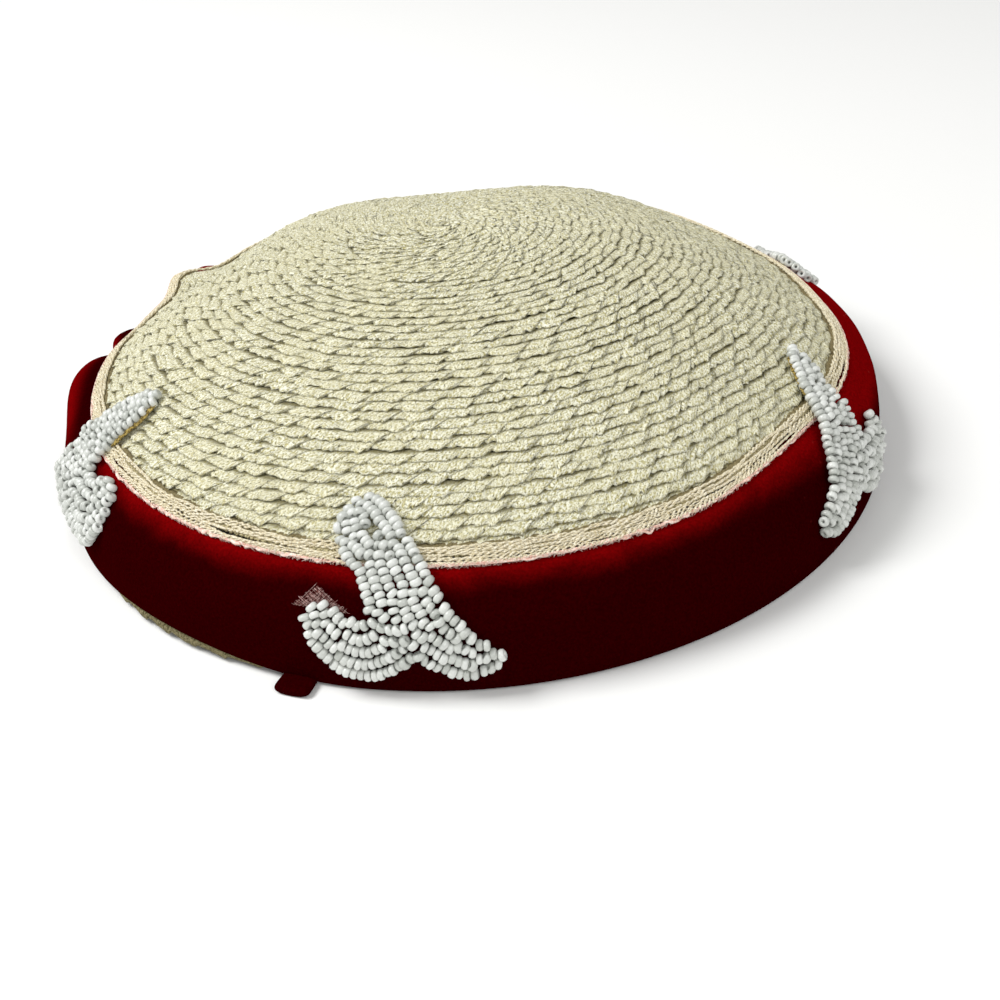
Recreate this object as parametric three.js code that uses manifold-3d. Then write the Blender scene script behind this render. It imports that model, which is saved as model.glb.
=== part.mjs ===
import * as THREE from "three";
import { mergeVertices } from "three/addons/utils/BufferGeometryUtils.js";
import { TessellateModifier } from "three/addons/modifiers/TessellateModifier.js";
import Module from "manifold-3d";

// A small round cap of sewn straw braid, with a red velvet band round its side and beaded doves
// that lie over the edge of the crown and onto the band. Millimetres, +Z up. The side that is worn
// to the front faces -Y, and the open underside rests on z = 0.

const manifold = await Module();
manifold.setup();

// Round the hat, in facets. Angles are degrees from the front towards +X.
const TURN_STEPS = 72;

// The straw crown: radius and height of its edge on the outside, and the rise of the dome above it.
// The dome's height falls as (1 - (r / lip)^SQUARENESS)^FULLNESS.
const LIP_RADIUS = 77;
const LIP_HEIGHT = 20.7;
const CROWN_RISE = 23;
const CROWN_SQUARENESS = 2.53;
const CROWN_FULLNESS = 1.025;
const CROWN_WALL = 2;
const CROWN_ROWS = 10;
const LIP_ROUNDING = 0.75;

// Where the edge of the crown and the top of the band stray from a level circle. The first row is
// the corner of straw that is pulled out at the back left.
const EDGE_WAVES = [
  { turn: -124, spread: 7, outset: 3.4, lift: 1.2 },
  { turn: 48, spread: 14, outset: -2.1, lift: 0.3 },
];
const CROWN_CALM_RADIUS = 40;

// The swells and dents of the soft dome: where each one is, how wide and how high it stands.
const CROWN_SWELLS = [
  { turn: -150, radius: 56, width: 26, rise: 1.4 },
  { turn: 180, radius: 52, width: 26, rise: -2.5 },
  { turn: 150, radius: 56, width: 26, rise: 1.4 },
  { turn: 118, radius: 60, width: 26, rise: -3 },
];

// The velvet band, as the radius and height of its outer face from the hem up to the edge that is
// tucked under the straw.
const BAND_FACE = [
  { radius: 84.8, height: 0 },
  { radius: 84.7, height: 3.5 },
  { radius: 84.4, height: 8 },
  { radius: 83.6, height: 11.8 },
  { radius: 82, height: 14.9 },
  { radius: 79.7, height: 17.2 },
  { radius: 77.2, height: 18.6 },
  { radius: 74.6, height: 19.2 },
];
const VELVET_WALL = 1.7;
const BAND_ROWS = 9;
const BAND_CALM_HEIGHT = 9;

// Where the band stands away from the crown or is pressed in: round the hat, and up from the hem.
const BAND_BULGES = [
  { turn: -90, spread: 24, height: 12, reach: 8, outset: 1.1 },
  { turn: 88, spread: 26, height: 6, reach: 6, outset: -0.8 },
];
const BAND_TUCK = { from: 14.5, to: 18.4 };

// Where the hem is drawn up and the straw under it shows.
const HEM_RISES = [{ turn: -43, halfSpan: 17, rise: 1.8 }];
const HEM_REACH = 12;

// The straw side under the velvet.
const SIDE_WALL = 1.6;
const SIDE_ROWS = 5;
const FIT_GAP = 0.3;

// The small fold of velvet that has slipped out under the hem.
const TAB = { turn: -23.6, width: 7.4, inner: 83, outer: 88.8, thick: 1.3, bevel: 0.35 };

// A beaded dove, as arms that meet in its breast. Each row is one section of an arm: how far it is
// along the hat's edge, how far above the edge (below it is negative), and half its width. Some
// doves have a round head with a beak, the others a head that runs out to a point.
const DOVE_ARMS = {
  roundHead: [
    { along: -9.6, above: 8.3, half: 2.8 },
    { along: -8.3, above: 5.4, half: 5.8 },
    { along: -5.2, above: 0.8, half: 6.2 },
    { along: -1.5, above: -4.6, half: 6.7 },
    { along: 1.3, above: -10, half: 6.8 },
  ],
  beak: [
    { along: -16.2, above: 2.5, half: 0.7 },
    { along: -11.5, above: 3.4, half: 1.3 },
  ],
  pointedHead: [
    { along: -12.2, above: 9.8, half: 1.1 },
    { along: -9.2, above: 6.6, half: 3.5 },
    { along: -4.9, above: 1.8, half: 4.9 },
    { along: -1.6, above: -4.4, half: 6.4 },
    { along: 1.3, above: -10, half: 6.8 },
  ],
  wing: [
    { along: -15.7, above: -10, half: 2 },
    { along: -14.3, above: -12.6, half: 3.3 },
    { along: -10.6, above: -15.6, half: 4.2 },
    { along: -5.8, above: -16.6, half: 4.7 },
    { along: 0.6, above: -12, half: 4.9 },
  ],
  tail: [
    { along: 1.3, above: -9.5, half: 6.4 },
    { along: 6.5, above: -13.8, half: 5 },
    { along: 10.6, above: -16.7, half: 4.2 },
    { along: 14.2, above: -17.6, half: 3 },
    { along: 16.9, above: -17.6, half: 1.4 },
  ],
};
const DOVE_KINDS = {
  round: ["roundHead", "beak", "wing", "tail"],
  pointed: ["pointedHead", "wing", "tail"],
};
const DOVE_BREAST = { along: 0, above: -8 };
const DOVE_RADIUS = 86;
const DOVE_THICK = 1.9;
const DOVE_EDGE = 5;

// The doves: where each is round the hat, which way it faces, how far it is sewn above the first
// one's height, and how far it leans towards its wing.
const DOVES = [
  { name: "dove_front", kind: "round", turn: -10.3, facing: 1, raise: 0.8, lean: 0 },
  { name: "dove_front_right", kind: "pointed", turn: 55.4, facing: -1, raise: 2, lean: -5 },
  { name: "dove_back_right", kind: "round", turn: 116, facing: 1, raise: -1.2, lean: 28 },
  { name: "dove_back", kind: "pointed", turn: -168, facing: -1, raise: -0.5, lean: 12 },
  { name: "dove_front_left", kind: "pointed", turn: -68.2, facing: -1, raise: 3.4, lean: -16 },
];

// The surface that the doves lie on: over the straw, across its edge and down the velvet.
const DRAPE_CLEAR = 0.35;
const DRAPE_CROWN_RADII = [56, 61, 66, 71, 74.5];

const STRAW = { color: 0xd8cfae, roughness: 0.75, metalness: 0 };
const VELVET = { color: 0x6b0508, roughness: 0.9, metalness: 0 };
const BEADS = { color: 0xe9ebe8, roughness: 0.25, metalness: 0 };

const hat = new THREE.Group();
hat.name = "headband_hat";

function smooth(from, to, value) {
  return THREE.MathUtils.smoothstep(value, from, to);
}

// How far apart two angles are, the short way round.
function turnBetween(a, b) {
  return Math.abs(THREE.MathUtils.euclideanModulo(a - b + 180, 360) - 180);
}

// The outset and the lift of the crown's edge at an angle.
function edgeWave(turn) {
  const wave = { outset: 0, lift: 0 };
  for (const row of EDGE_WAVES) {
    const bell = Math.exp(-((turnBetween(turn, row.turn) / row.spread) ** 2));
    wave.outset += row.outset * bell;
    wave.lift += row.lift * bell;
  }
  return wave;
}

function bandBulge(turn, height) {
  let outset = 0;
  for (const row of BAND_BULGES) {
    const across = turnBetween(turn, row.turn) / row.spread;
    const up = (height - row.height) / row.reach;
    outset += row.outset * Math.exp(-(across ** 2) - up ** 2);
  }
  return outset * (1 - smooth(BAND_TUCK.from, BAND_TUCK.to, height));
}

function hemRise(turn) {
  let rise = 0;
  for (const row of HEM_RISES) {
    const part = Math.min(1, turnBetween(turn, row.turn) / row.halfSpan);
    rise += row.rise * Math.cos((part * Math.PI) / 2) ** 2;
  }
  return rise;
}

function crownHeight(radius) {
  const out = Math.min(1, radius / LIP_RADIUS) ** CROWN_SQUARENESS;
  return LIP_HEIGHT + CROWN_RISE * (1 - out) ** CROWN_FULLNESS;
}

// How far the swells lift the dome at a place.
function crownSwell(turn, radius) {
  let lift = 0;
  for (const row of CROWN_SWELLS) {
    const apart = THREE.MathUtils.degToRad(turnBetween(turn, row.turn));
    const square = radius ** 2 + row.radius ** 2 - 2 * radius * row.radius * Math.cos(apart);
    lift += row.rise * Math.exp(-square / row.width ** 2);
  }
  return lift;
}

// Moves every vertex through a function of its angle, radius and height.
function bend(geometry, move) {
  const position = geometry.getAttribute("position");
  const point = new THREE.Vector3();
  for (let i = 0; i < position.count; i += 1) {
    point.fromBufferAttribute(position, i);
    move(point);
    position.setXYZ(i, point.x, point.y, point.z);
  }
  return geometry;
}

function moveRound(point, change) {
  const radius = Math.hypot(point.x, point.y);
  const angle = Math.atan2(point.x, -point.y);
  const moved = change(THREE.MathUtils.radToDeg(angle), radius, point.z);
  point.set(moved.radius * Math.sin(angle), -moved.radius * Math.cos(angle), moved.height);
}

// One closed body: shared vertices, and no triangle that has shrunk to a line.
function closedBody(geometry) {
  geometry.deleteAttribute("normal");
  geometry.deleteAttribute("uv");
  const merged = mergeVertices(geometry, 1e-3);
  const from = merged.index.array;
  const kept = [];
  for (let i = 0; i < from.length; i += 3) {
    const [a, b, c] = [from[i], from[i + 1], from[i + 2]];
    if (a !== b && b !== c && c !== a) {
      kept.push(a, b, c);
    }
  }
  merged.setIndex(kept);
  merged.computeVertexNormals();
  return merged;
}

function solidOf(geometry) {
  const body = closedBody(geometry);
  const mesh = new manifold.Mesh({
    numProp: 3,
    vertProperties: body.getAttribute("position").array,
    triVerts: new Uint32Array(body.index.array),
  });
  return new manifold.Manifold(mesh);
}

function geometryOf(solid) {
  const mesh = solid.getMesh();
  const geometry = new THREE.BufferGeometry();
  const position = new Float32Array(mesh.numVert * 3);
  for (let i = 0; i < mesh.numVert; i += 1) {
    position.set(mesh.vertProperties.subarray(i * mesh.numProp, i * mesh.numProp + 3), i * 3);
  }
  geometry.setAttribute("position", new THREE.BufferAttribute(position, 3));
  geometry.setIndex(Array.from(mesh.triVerts));
  return geometry;
}

// A profile of (radius, height) points turned once round +Z, starting at the front.
function turned(profile) {
  const lathe = new THREE.LatheGeometry(profile, TURN_STEPS);
  return lathe.rotateX(Math.PI / 2);
}

// The same line of points, moved sideways: a positive distance is to the left of its direction.
function offsetLine(points, distance) {
  return points.map((point, i) => {
    const before = points[Math.max(0, i - 1)];
    const after = points[Math.min(points.length - 1, i + 1)];
    const along = after.clone().sub(before).normalize();
    return new THREE.Vector2(point.x - along.y * distance, point.y + along.x * distance);
  });
}

function add(name, geometry, look) {
  const mesh = new THREE.Mesh(geometry, new THREE.MeshStandardMaterial(look));
  mesh.name = name;
  hat.add(mesh);
  return mesh;
}

// The crown's own edge wave dies out towards its tip.
function crownWave(point) {
  moveRound(point, (turn, radius, height) => {
    const wave = edgeWave(turn);
    const share = smooth(CROWN_CALM_RADIUS, LIP_RADIUS, radius);
    const lift = wave.lift * share + crownSwell(turn, Math.min(radius, LIP_RADIUS));
    return { radius: radius + wave.outset * share, height: height + lift };
  });
}

// The velvet and the straw under it follow the crown's edge at the top, and the hem rises below.
function bandWave(hemMoves) {
  return (point) =>
    moveRound(point, (turn, radius, height) => {
      const wave = edgeWave(turn);
      const top = smooth(BAND_CALM_HEIGHT, LIP_HEIGHT, height);
      const tuck = smooth(BAND_TUCK.from, BAND_TUCK.to, height);
      const hem = hemMoves ? hemRise(turn) * Math.max(0, 1 - height / HEM_REACH) : 0;
      const swell = crownSwell(turn, Math.min(radius, LIP_RADIUS));
      return {
        radius: radius + Math.min(0, wave.outset) * top + bandBulge(turn, height),
        height: height + wave.lift * top + swell * tuck + hem,
      };
    });
}

// The straw crown: a dome with a rounded edge, hollow underneath.
const crownOutside = [];
for (let row = 0; row <= CROWN_ROWS; row += 1) {
  const radius = LIP_RADIUS * Math.sin((row / CROWN_ROWS) * (Math.PI / 2)) ** 0.85;
  crownOutside.push(new THREE.Vector2(radius, crownHeight(radius)));
}
const crownInside = offsetLine(crownOutside, -CROWN_WALL);
crownInside[0].x = 0;
const lipTop = crownOutside[CROWN_ROWS];
const lipUnder = crownInside[CROWN_ROWS];
const lipRound = lipTop.clone().lerp(lipUnder, 0.55);
lipRound.x += LIP_ROUNDING;
const crownLoop = [...crownInside, lipRound, ...crownOutside.reverse()];
add("crown", closedBody(bend(turned(crownLoop), crownWave)), STRAW);

// The velvet band, and the straw side that it covers.
const bandCurve = new THREE.SplineCurve(
  BAND_FACE.map((row) => new THREE.Vector2(row.radius, row.height)),
);
const bandOutside = bandCurve.getSpacedPoints(BAND_ROWS);
const bandInside = offsetLine(bandOutside, VELVET_WALL);
const sideLine = bandCurve.getSpacedPoints(SIDE_ROWS);
const sideOutside = offsetLine(sideLine, VELVET_WALL + FIT_GAP);
const sideInside = offsetLine(sideLine, VELVET_WALL + FIT_GAP + SIDE_WALL);
for (const line of [bandInside, sideOutside, sideInside]) {
  line[0].y = 0;
}
const loopOf = (outside, inside) => [...outside, ...inside.slice().reverse(), outside[0].clone()];
const band = bend(turned(loopOf(bandOutside, bandInside)), bandWave(true));
const side = bend(turned(loopOf(sideOutside, sideInside)), bandWave(false));
add("side_band", closedBody(side), STRAW);

// The fold of velvet under the hem: a rounded tongue that lies on the surface below it.
function tabGeometry(grow) {
  const half = TAB.width / 2 + grow;
  const outline = new THREE.Shape();
  outline.moveTo(-half * 0.86, -TAB.inner + grow);
  outline.lineTo(half * 0.86, -TAB.inner + grow);
  outline.lineTo(half, -TAB.outer - grow + half * 0.8);
  outline.quadraticCurveTo(half, -TAB.outer - grow, half * 0.2, -TAB.outer - grow);
  outline.quadraticCurveTo(-half, -TAB.outer - grow, -half, -TAB.outer - grow + half * 0.7);
  outline.closePath();
  const tongue = new THREE.ExtrudeGeometry(outline, {
    depth: TAB.thick + grow - 2 * TAB.bevel,
    bevelSize: TAB.bevel,
    bevelOffset: -TAB.bevel,
    bevelThickness: TAB.bevel,
    bevelSegments: 2,
    curveSegments: 6,
  });
  tongue.translate(0, 0, TAB.bevel);
  return tongue.rotateZ(THREE.MathUtils.degToRad(TAB.turn));
}
add("velvet_tab", closedBody(tabGeometry(0)), VELVET);
const hemNotch = solidOf(tabGeometry(FIT_GAP).translate(0, 0, -FIT_GAP / 2));
const bandCut = manifold.Manifold.difference(solidOf(band), hemNotch);
add("velvet_band", closedBody(geometryOf(bandCut)), VELVET);

// The line that the doves lie along, from the crown down to the hem, with its edge at length 0.
const drapeCrown = DRAPE_CROWN_RADII.map((r) => new THREE.Vector2(r, crownHeight(r)));
const drapeCurve = new THREE.SplineCurve([
  ...offsetLine(drapeCrown, DRAPE_CLEAR),
  new THREE.Vector2(LIP_RADIUS + DRAPE_CLEAR, LIP_HEIGHT + DRAPE_CLEAR),
  ...offsetLine(bandOutside.slice(1, BAND_ROWS - 2).reverse(), DRAPE_CLEAR),
]);
const drapeLength = drapeCurve.getLength();
const drapeEdge = drapeLengthTo(LIP_RADIUS);

// The length along the drape line at which it reaches a radius.
function drapeLengthTo(radius) {
  let [low, high] = [0, 1];
  for (let i = 0; i < 40; i += 1) {
    const middle = (low + high) / 2;
    if (drapeCurve.getPointAt(middle).x < radius) {
      low = middle;
    } else {
      high = middle;
    }
  }
  return low * drapeLength;
}

// A point on a dove, from its flat place to its place on the hat.
function onHat(point, { turn, facing, raise, lean }) {
  const tilt = THREE.MathUtils.degToRad(lean);
  const [out, up] = [point.x - DOVE_BREAST.along, point.y - DOVE_BREAST.above];
  const around = DOVE_BREAST.along + out * Math.cos(tilt) - up * Math.sin(tilt);
  const above = DOVE_BREAST.above + out * Math.sin(tilt) + up * Math.cos(tilt) + raise;
  const share = THREE.MathUtils.clamp((drapeEdge - above) / drapeLength, 0, 1);
  const place = drapeCurve.getPointAt(share);
  const run = drapeCurve.getTangentAt(share);
  const at = turn + THREE.MathUtils.radToDeg((facing * around) / DOVE_RADIUS);
  const wave = edgeWave(at);
  const onCrown = smooth(CROWN_CALM_RADIUS, LIP_RADIUS, place.x);
  const onBand = smooth(BAND_CALM_HEIGHT, LIP_HEIGHT, place.y);
  const swell = crownSwell(at, Math.min(place.x, LIP_RADIUS));
  const crownLift = wave.lift * onCrown + swell;
  const bandLift = wave.lift * onBand + swell * smooth(BAND_TUCK.from, BAND_TUCK.to, place.y);
  const outset = Math.max(0, wave.outset) * Math.min(onCrown, onBand) + bandBulge(at, place.y);
  const radius = place.x - run.y * point.z + (place.x < LIP_RADIUS ? 0 : outset);
  const height = place.y + run.x * point.z + (place.x < LIP_RADIUS ? crownLift : bandLift);
  const angle = THREE.MathUtils.degToRad(at);
  point.set(radius * Math.sin(angle), -radius * Math.cos(angle), height);
}

// One arm of a dove, flat: a smooth leaf through its sections.
function armGeometry(rows) {
  const middle = rows.map((row) => new THREE.Vector2(row.along, row.above));
  const sides = [1, -1].map((hand) =>
    rows.map((row, i) => {
      const before = middle[Math.max(0, i - 1)];
      const after = middle[Math.min(rows.length - 1, i + 1)];
      const run = after.clone().sub(before).normalize();
      return new THREE.Vector2(-run.y, run.x).multiplyScalar(hand * row.half).add(middle[i]);
    }),
  );
  const steps = rows.length > 2 ? 8 : 2;
  const left = new THREE.SplineCurve(sides[0]).getSpacedPoints(steps);
  const right = new THREE.SplineCurve(sides[1]).getSpacedPoints(steps);
  const leaf = new THREE.Shape([...left, ...right.reverse()]);
  return new THREE.ExtrudeGeometry(leaf, { depth: DOVE_THICK, bevelEnabled: false });
}

// A dove's arms joined into one flat body, cut finely enough to bend over the hat's edge.
function flatDove(kind) {
  const arms = DOVE_KINDS[kind].map((arm) => solidOf(armGeometry(DOVE_ARMS[arm])));
  const joined = geometryOf(manifold.Manifold.union(arms).simplify(0.05));
  return closedBody(new TessellateModifier(DOVE_EDGE, 8).modify(joined));
}

for (const row of DOVES) {
  const dove = bend(flatDove(row.kind), (point) => onHat(point, row));
  if (row.facing < 0) {
    dove.setIndex(Array.from(dove.index.array).reverse());
  }
  add(row.name, closedBody(dove), BEADS);
}

export default hat;
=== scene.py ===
from functools import partial
from types import SimpleNamespace as Sizes

import bpy
import numpy as np
from mathutils import Matrix


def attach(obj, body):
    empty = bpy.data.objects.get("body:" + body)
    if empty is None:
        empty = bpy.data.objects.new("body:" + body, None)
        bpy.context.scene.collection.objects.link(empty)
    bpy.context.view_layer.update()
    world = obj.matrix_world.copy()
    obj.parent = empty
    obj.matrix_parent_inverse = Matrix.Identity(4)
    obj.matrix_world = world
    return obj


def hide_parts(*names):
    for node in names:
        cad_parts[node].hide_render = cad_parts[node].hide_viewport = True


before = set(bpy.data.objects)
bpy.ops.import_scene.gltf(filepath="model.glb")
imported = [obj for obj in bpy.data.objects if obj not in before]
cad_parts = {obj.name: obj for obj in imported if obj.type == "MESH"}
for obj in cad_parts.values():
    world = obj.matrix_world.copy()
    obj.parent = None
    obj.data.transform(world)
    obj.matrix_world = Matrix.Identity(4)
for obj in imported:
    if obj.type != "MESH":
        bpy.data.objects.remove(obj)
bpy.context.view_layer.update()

# The crown. One long plait of three flat straw strands is sewn edge over edge in a spiral, from the
# tip of the dome out to the rim, so that each row hangs a little over the next one. It is soft,
# with shallow dents at the back and a corner of its rim pulled out at the back left.
MM = 0.001
LIP_RADIUS = 77.0
LIP_HEIGHT = 20.7
LIP_SLOPE = 0.75
CROWN_RISE = 23.0
CROWN_SQUARENESS = 2.53
CROWN_FULLNESS = 1.025
CROWN_CALM_RADIUS = 40.0
CROWN_MARGIN = 4.0


def table(keys, *rows):
    """Rows of sizes, with the same names for all."""
    return [Sizes(**dict(zip(keys.split(), row))) for row in rows]


EDGE_WAVES = table(
    "turn spread outset lift",
    (-124.9, 4.5, 3.5, 2.2),
    (48, 14, -2.1, 0.3),
    (96, 12, -1.3, -0.2),
)
CROWN_SWELLS = table(
    "turn radius width rise",
    (-150, 56, 26, 1.4),
    (180, 52, 26, -2.5),
    (150, 56, 26, 1.4),
    (118, 60, 26, -3.0),
    (-125.4, 63.3, 11.6, -5.6),
    (-108.4, 76, 10, -1.35),
)
NORMAL_STEP = 0.2
SPIRAL_MIDDLE = (-2.5, 10.0)
SPIRAL_RUNS = (0.1, 92.0)
SPIRAL_POINTS = 24000
SPOKES = Sizes(degrees=5, reach=95, points=400, run=100, per_mm=5)
BRAID_PITCH = 2.15
TIP_PITCH = Sizes(pitch=1.75, fades=(14.0, 42.0))
TIP_CLOSING = Sizes(lift=0.5, run=4.0)
ROW_STOPS = (0.0, 0.05, 0.13, 0.23, 0.34, 0.45, 0.56, 0.67, 0.77, 0.85, 0.9, 0.94, 0.97)
ROW_ACROSS = (0.0, 0.34, 0.7, 0.9, 1.0, 0.94, 0.35)
ROW_HEIGHT = (-0.45, -0.12, 0.1, 0.12, -0.04, -0.3, -0.8)
CROWN_ROW = Sizes(
    leaf=6.8, wide=3.4, edge=1.1, saw=0.8, fold=0.33, even=0.9, skew=1.4, waver=0.16, knobs=0.19,
    round=0, start=0.5,
)
LEAF = Sizes(
    grown=(300.0, 1900.0), shift=0.1, uneven_saw=0.2, uneven_fold=0.25, falls=0.86, bow=1.6,
    calm_end=20.0, waver_step=9.0,
)
STRAY_LIMIT = 2.0
CROWN_UNDER_RIM = 2.5
CROWN_TUCK = Sizes(down=0.6, before=3.0, after=1.0)
CROWN_SINK = 0.4
SHORTEST_STRETCH = 8
STRAW_SEED = 4


def smooth(low, high, value):
    """0 below low, 1 above high, and the cubic 3t^2 - 2t^3 between them."""
    share = np.clip((value - low) / (high - low), 0, 1)
    return share * share * (3 - 2 * share)


def fade_ends(value, whole, span):
    """1 along the middle of a length, falling smoothly to 0 over a span at each end."""
    return smooth(0, span, value) * (1 - smooth(whole - span, whole, value))


def turn_between(a, b):
    """How many degrees apart two turns are, the short way round."""
    return np.abs((a - b + 180) % 360 - 180)


def bell(turn, row):
    """How near a turn is to a row's own turn: exp(-(angle / spread)^2)."""
    return np.exp(-((turn_between(turn, row.turn) / row.spread) ** 2))


def edge_wave(turn):
    """Outset and lift of the rim, each a sum of bells."""
    bells = [bell(turn, row) for row in EDGE_WAVES]
    outset = sum(row.outset * near for row, near in zip(EDGE_WAVES, bells))
    return outset, sum(row.lift * near for row, near in zip(EDGE_WAVES, bells))


def crown_swell(turn, radius):
    """Lift of the soft dome: a sum of bells of the flat distance to each swell's middle."""
    lift = 0.0
    for row in CROWN_SWELLS:
        angle = np.radians(turn_between(turn, row.turn))
        square = radius**2 + row.radius ** 2 - 2 * radius * row.radius * np.cos(angle)
        lift = lift + row.rise * np.exp(-square / row.width ** 2)
    return lift


def crown_height(radius):
    """The level dome, lip + rise (1 - (r / lip)^squareness)^fullness, and a slope past the lip."""
    out = np.clip(radius / LIP_RADIUS, 0, 1) ** CROWN_SQUARENESS
    past = np.maximum(0, radius - LIP_RADIUS)
    return LIP_HEIGHT + CROWN_RISE * (1 - out) ** CROWN_FULLNESS - LIP_SLOPE * past


def round_point(turn, radius, height):
    """A point at a turn from the front towards +X, in millimetres."""
    angle = np.radians(turn)
    x, y = radius * np.sin(angle), -radius * np.cos(angle)
    return np.stack(np.broadcast_arrays(x, y, height), -1)


def crown_point(turn, radius):
    """The crown's outer face: the level dome, moved by the rim's waves and the swells."""
    share = smooth(CROWN_CALM_RADIUS, LIP_RADIUS, radius)
    outset, lift = edge_wave(turn)
    swell = crown_swell(turn, np.minimum(radius, LIP_RADIUS))
    return round_point(turn, radius + outset * share, crown_height(radius) + lift * share + swell)


def unit(vectors):
    """The same vectors at length 1."""
    return vectors / np.maximum(np.linalg.norm(vectors, axis=-1, keepdims=True), 1e-9)


def over_crown(turn, radius, up):
    """A point at a height above the crown's face, along its normal: downhill crossed with round."""
    inner, outer = np.maximum(radius - NORMAL_STEP, 0), radius + NORMAL_STEP
    downhill = unit(crown_point(turn, outer) - crown_point(turn, inner))
    angle = np.radians(turn)
    level = np.stack(np.broadcast_arrays(np.cos(angle), np.sin(angle), 0 * angle), -1)
    return crown_point(turn, radius) + unit(np.cross(downhill, level)) * np.asarray(up)[..., None]


def from_middle(turn, distance):
    """Turn and radius on the hat of a place at a flat distance from the spiral's middle."""
    spot = round_point(turn, distance, 0.0)
    x, y = spot[..., 0] + SPIRAL_MIDDLE[0], spot[..., 1] + SPIRAL_MIDDLE[1]
    return np.degrees(np.arctan2(x, -y)), np.hypot(x, y)


def run_of(line):
    """The length along a line of points, from its start."""
    return np.cumsum(np.append(0, np.linalg.norm(np.diff(line, axis=0), axis=1)))


crown_radius = np.linspace(0, LIP_RADIUS + CROWN_MARGIN, 800)
crown_run = run_of(np.stack([crown_radius, crown_height(crown_radius)], -1))
lip_run = np.interp(LIP_RADIUS, crown_radius, crown_run)
rim_start = np.interp(lip_run - CROWN_UNDER_RIM, crown_run, crown_radius)
spoke_turn = np.arange(0, 361, SPOKES.degrees)[:, None]
spoke_out = np.linspace(0, SPOKES.reach, SPOKES.points)
spoke_radius = from_middle(spoke_turn, spoke_out)[1]
spoke_step = np.hypot(np.diff(spoke_out), np.diff(crown_height(spoke_radius), axis=1))
spoke_run = np.cumsum(np.pad(spoke_step, ((0, 0), (1, 0))), axis=1)
even_run = np.linspace(0, SPOKES.run, SPOKES.run * SPOKES.per_mm + 1)
spoke_place = np.array([np.interp(even_run, run, spoke_out) for run in spoke_run])


def spoke_distance(turn, run):
    """Flat distance for a run over the dome in a direction, read between the two nearest spokes."""
    row = turn % 360 / SPOKES.degrees
    column = np.clip(run, 0, SPOKES.run - 0.1) * SPOKES.per_mm
    i, j = row.astype(int), column.astype(int)
    near = spoke_place[i, j] * (1 - column + j) + spoke_place[i, j + 1] * (column - j)
    far = spoke_place[i + 1, j] * (1 - column + j) + spoke_place[i + 1, j + 1] * (column - j)
    return near * (1 - row + i) + far * (row - i)


spiral_run = np.linspace(*SPIRAL_RUNS, SPIRAL_POINTS)
widened = smooth(*TIP_PITCH.fades, spiral_run)
row_pitch = TIP_PITCH.pitch + (BRAID_PITCH - TIP_PITCH.pitch) * widened
spiral_turn = np.cumsum(360 / row_pitch) * (spiral_run[1] - spiral_run[0])
spiral_step = np.radians(np.diff(spiral_turn)) * spoke_distance(spiral_turn, spiral_run)[1:]
spiral_length = np.cumsum(np.append(0, spiral_step))


def spiral_at(along):
    """Run from the spiral's middle and turn about it, at a length along the strip."""
    return [np.interp(along, spiral_length, values) for values in (spiral_run, spiral_turn)]


def along_spiral(along, across, up):
    """A point on the strip: its turn and run from the length along it, then across it and up."""
    run, turn = spiral_at(along)
    turn, radius = from_middle(turn, spoke_distance(turn, run + across))
    under = smooth(rim_start - CROWN_TUCK.before, rim_start + CROWN_TUCK.after, radius)
    closed = TIP_CLOSING.lift * (1 - smooth(0, TIP_CLOSING.run, run + across))
    return over_crown(turn, radius, up - CROWN_SINK - CROWN_TUCK.down * under + closed)


def stray(length, along, step, draw):
    """A wavering line: one draw from a bell curve for each step of length, joined smoothly."""
    knots = draw.standard_normal(int(length / step) + 3)
    index = (along / step).astype(int)
    share = smooth(0, 1, along / step - index)
    return knots[index] * (1 - share) + knots[index + 1] * share


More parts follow.
